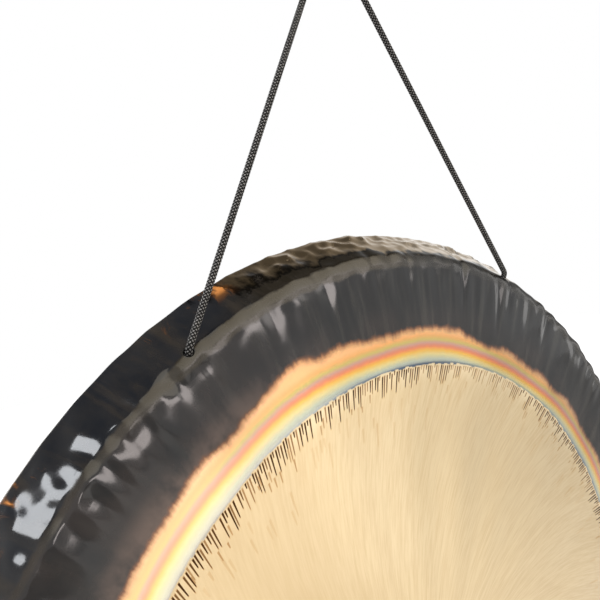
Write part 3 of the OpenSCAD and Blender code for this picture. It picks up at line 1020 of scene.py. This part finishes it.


# One finish from the middle outwards: scraped gold, heat tints, dark oxide, matt bend, worn rim, brown
# back, with painted light and shade on several of them
def bronzeMaterial(values, marks):
    material, tree, shader = makeMaterial("heatTintedBronze")
    place = objectPlace(tree)
    centre = tree.nodes.new("ShaderNodeMapping")
    centre.inputs["Location"].default_value = (0.0, -gongDepth, -gongHeight)
    feed(centre.inputs["Vector"], place)
    x, _, z = apart(Flow(centre.outputs[0]))
    radius = calc("SQRT", x * x + z * z) * (1 / millimetre)
    angle = calc("ARCTAN2", x, z)
    arc, polish, litSide, brownMetal, shift = (attribute(tree, name) for name in
                                              ("arcLength", "polish", "litSide", "brownMetal", "shift"))
    goldEdge, shoulder, rimStart, rimEdge = (way / millimetre for way in (
        plate["lathedRadius"], marks["shoulder"], marks["rim"], marks["edge"]))
    inwards, outwards = goldEdge - radius, radius - goldEdge

    # Noise on a ring that closes on itself: grains round the gong, grains in a millimetre of radius, a lane
    # of its own, then the noise's detail, roughness and distortion
    def ringGrain(crests, radial, lane, *quality, turned=angle):
        size = crests / (2 * math.pi)
        across, up = calc("SINE", turned) * size, calc("COSINE", turned) * size
        return grain(shaderNode("CombineXYZ", (across, up, radius * radial + lane)), 1.0, *quality)

    # Strokes: one in each narrow sector, of its own length, width and start
    def strokes(sectors, nearest, furthest, shortest, longest, share, lane):
        u = (inwards * values["strokeSlant"] + angle) * (sectors / (2 * math.pi))
        sector = shaderNode("CombineXYZ", (calc("FLOOR", u), lane, 0.0))
        chance = shaderNode("TexWhiteNoise", (sector,), output="Value", noise_dimensions="2D")
        aside, begin, reach = apart(Flow(chance.socket.node.outputs["Color"]), "SeparateColor")
        away = calc("ABSOLUTE", calc("FRACT", u) - (aside * 0.4 + 0.3))
        length = reach * (longest - shortest) + shortest
        way = (inwards - (begin * (furthest - nearest) + nearest)) / length
        half = (1.0 - way * 0.55) * 0.42
        mark = ease(way, 0.0, 0.12) * ease(way, 1.0, 0.8) * ease(away, half, half * 0.55)
        return mark * calc("LESS_THAN", chance, share) * (aside * 0.5 + 0.5)

    # Scraped gold: fine slanted streaks in two sizes, darker strokes along the edge, a painted highlight
    # towards the edge and painted shade on the lit side
    slanted = inwards * values["slant"] + angle
    fine = ringGrain(900.0, 0.05, 0.0, 3.0, 0.6, turned=slanted)
    streak = fine * 0.65 + ringGrain(240.0, 0.02, 40.0, turned=slanted) * 0.35
    dash = 0.0
    for *stroke, strength in values["strokes"]:
        dash = larger(strokes(*stroke) * strength, dash)
    dash *= 1.0 - polish * 0.4
    burr = coats(values, "burr", (ease(dash, 0.3, 0.8), "dash"))
    gold = coats(values, "gold", (ease(streak, 0.34, 0.68), "goldDark"),
                 (ease(inwards, 16.0, 1.0, 0.0, 0.6), "edgePaintedHighlight"), (litSide * 0.7, "goldPaintedShade"),
                 (ease(dash, 0.0, 0.8, 0.0, 0.97), burr))
    step = calc("FLOOR", angle * (values["teeth"] / (2 * math.pi)))
    tooth = shaderNode("TexWhiteNoise", (step,), ("W",), "Value", noise_dimensions="1D")
    onGold = ease((tooth - 0.5) * values["toothDepth"] + radius, goldEdge + 0.5, goldEdge - 0.5)

    # Heat tints: a colour scale that wanders outwards and inwards round the gong, paler on the lit side as
    # a painted highlight
    pull = larger(shift, 0.0) * ease(outwards, 0.0, 12.0) + calc("MINIMUM", shift, 0.0)
    smear = (ringGrain(300.0, 0.1, 3.0, 3.0) - 0.5) * 1.6
    scale = (outwards - pull + smear) / values["ringWidth"]
    ring = ramp(scale, [(way / values["ringWidth"], colour) for way, colour in values["ring"]])
    ring = coats(values, ring, (ease(scale, 1.0, 1.3), "peach"), (litSide * 0.32, "palePaintedHighlight"),
                 (ease(outwards, 2.6, 0.3) * attribute(tree, "blueLine"), "blueLine"))

    # Dark oxide: its inner edge wanders, licks inwards and ends in fine hairs over a brown singe. Lighter
    # clouds on the lit side are painted soft highlights
    flames = (ringGrain(150.0, 0.06, 11.0, 3.0, 0.55) - 0.5) * values["flames"]
    hairs = (ringGrain(900.0, 0.05, 17.0) - 0.5) * values["hairs"]
    over = radius + flames + hairs - attribute(tree, "darkEdge")
    onDark = ease(over, -2.2, 2.2)
    cloud = ringGrain(60.0, 0.02, 23.0, 4.0, 0.6)
    paintedGlowClouds = ease(cloud, 0.3, 0.62) * litSide * ease(radius, 332.0, 352.0, 1.0, 0.15)
    brushed = ease(ringGrain(280.0, 0.014, 71.0, 3.0, 0.55), 0.42, 0.74) * (1.0 - litSide * 0.85)
    dark = coats(values, "dark", (brushed, "darkStreak"), (paintedGlowClouds, "darkPaintedGlow"))

    # Matt bend with torn edges; its colour is a painted sheen that stands for a reflection along the
    # shoulder
    ragged = (ringGrain(130.0, 0.01, 81.0, 5.0, 0.6) - 0.5) * values["bendRagged"] + arc
    onBend = ease(ragged - attribute(tree, "bendNarrow"), shoulder - 5.0, shoulder - 1.5)
    face = coats(values, ring, (ease(over, -6.5, 0.6), "scorch"), (onGold, gold), (onDark, dark),
                 (onBend * attribute(tree, "paintedBendSheenShare"), "paintedBendSheen"))

    # Rim: dark oxide with brown smears, worn to bright metal in blotches; the brightest smears, strongest
    # by the left cord, are partly their own tone and partly a painted glow
    onRim = ease(ragged, rimStart - 5.0, rimStart - 2.5)
    streaks = ringGrain(120.0, 0.03, 31.0, 4.0, 0.6, 0.4)
    spots = ringGrain(260.0, 0.12, 33.0, 4.0, 0.65, 0.6)
    brown = ease((spots - 0.5) * 1.6 + attribute(tree, "orangeAndGlow") * 0.5, 0.2, 0.65)
    brown *= ease(arc, rimStart + 9.0, rimEdge - 8.0)
    cool = ease(ringGrain(70.0, 0.05, 91.0, 4.0, 0.6), 0.4, 0.6)
    blotch = (ringGrain(170.0, 0.09, 61.0, 4.0, 0.6) - 0.5) * 1.5
    wander = (streaks - 0.5) * 26.0 + ragged
    wear = blotch + brownMetal + ease(arc, rimStart, rimEdge, -0.25, 0.2)
    worn = ease(wear + ease(wander, rimStart - 2.0, rimStart + 9.0, -0.6, 0.0), 0.0, 0.85)
    smearAndGlow = coats(values, "rimBrown", (ease(brown, 0.5, 1.0), "rimOrangeGlow"))
    bright = coats(values, "rimWorn", (polish, "rimBright"))
    rim = coats(values, "rim", (cool, "rimCool"), (ease(brownMetal, 0.0, 0.4), "rimWarm"),
                (ease(streaks, 0.48, 0.75), "rimSmear"), (ease(brown, 0.0, 0.6), smearAndGlow),
                (ease(worn, 0.15, 0.9), bright))

    # Back and the inside of the rim: brown with random tone and soot, painted lighter on the ridges and
    # darker in the hammer marks' bowls as their shade
    behind = ease(arc, rimEdge - 1.0, rimEdge + 1.0)
    sooty = grain(place, 90.0, 4.0, 0.65)
    toneAndDentShade = (grain(place, 30.0, 6.0, 0.6, 0.4) - 0.5) * 0.9 + attribute(tree, "backDentShade")
    back = coats(values, "back", (ease(toneAndDentShade, -0.3, 0.4), "backPaintedLight"),
                 (ease(sooty, 0.52, 0.72, 0.0, 0.6), "backSoot"))

    # Bare metal and its clear coat, which the strokes, the rim and the back don't have
    bare = larger((1.0 - onDark) * (1.0 - onRim), ease(worn, 0.0, 0.24) * onRim)
    bare = blendNumber(behind, bare, ease(sooty, 0.4, 0.7, 0.95, 0.6))
    uncoated = larger(ease(dash, 0.0, 0.35) * onGold, larger(onRim, behind))

    # Roughness and relief, in the same order as the colours
    pebble = grain(place, 240.0, 3.0, 0.6)
    rough = 0.24
    for share, level in ((onGold, streak * 0.2 + values["goldRoughness"]),
                         (onDark, cloud * 0.06 + ease(radius, 330.0, 365.0, 0.19, 0.075)),
                         (onBend, pebble * 0.1 + values["bendRoughness"]),
                         (onRim, worn * 0.01 + streaks * 0.08 + 0.06), (behind, sooty * 0.24 + 0.06)):
        rough = blendNumber(share, rough, level)
    height = (streak - dash) * onGold * 0.12 + pebble * (behind * 0.3 + 0.04)
    dress(shader, {"Base Color": coats(values, face, (onRim, rim), (behind, back)), "Metallic": bare,
                   "Roughness": rough, "Normal": relief(height, *values["bump"]),
                   "Specular IOR Level": 0.5 - onRim * ease(brownMetal, 0.05, 0.4) * 0.38,
                   "Coat Weight": larger(bare - uncoated, 0.0), "Coat Roughness": values["coatRoughness"]})
    return material


gong.data.materials.clear()
gong.data.materials.append(bronzeMaterial(bronze, arcMarks))
print("bronze finish ready")


# Hook

steel = {
    "colour": (176, 178, 182),
    "dull": (128, 130, 134),
    "roughness": 0.18,
    "bump": (0.25, 0.0002),
}


# Zinc-coated steel: soft spangles in tone and gloss, and fine scratches
def steelMaterial(values):
    material, tree, shader = makeMaterial("galvanisedSteel")
    place = objectPlace(tree)
    spangle = grain(place, 160.0, 3.0, 0.6)
    dress(shader, {"Base Color": coats(values, "dull", (ease(spangle, 0.35, 0.65), "colour")),
                   "Metallic": 1.0, "Roughness": spangle * 0.3 + values["roughness"],
                   "Normal": relief(grain(place, 900.0), *values["bump"])})
    return material


# The hook's own solid, cleaned of the slivers at its ends
hook = addObject("hangingHook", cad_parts["s_hook"].data.copy())
removeSlivers(hook.data)
hook.data.materials.clear()
hook.data.materials.append(steelMaterial(steel))
print("hook finish ready")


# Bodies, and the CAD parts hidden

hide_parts("hanging_cord", "left_cord_end", "right_cord_end")
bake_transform(cord)
leftHole = fromHole(np.array([[0.0, 0.0, cordSizes["exitOut"]]]))[0] * mirror

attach(hook, "hook")
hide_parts("s_hook")

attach(gong, "gong")
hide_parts("gong_plate")
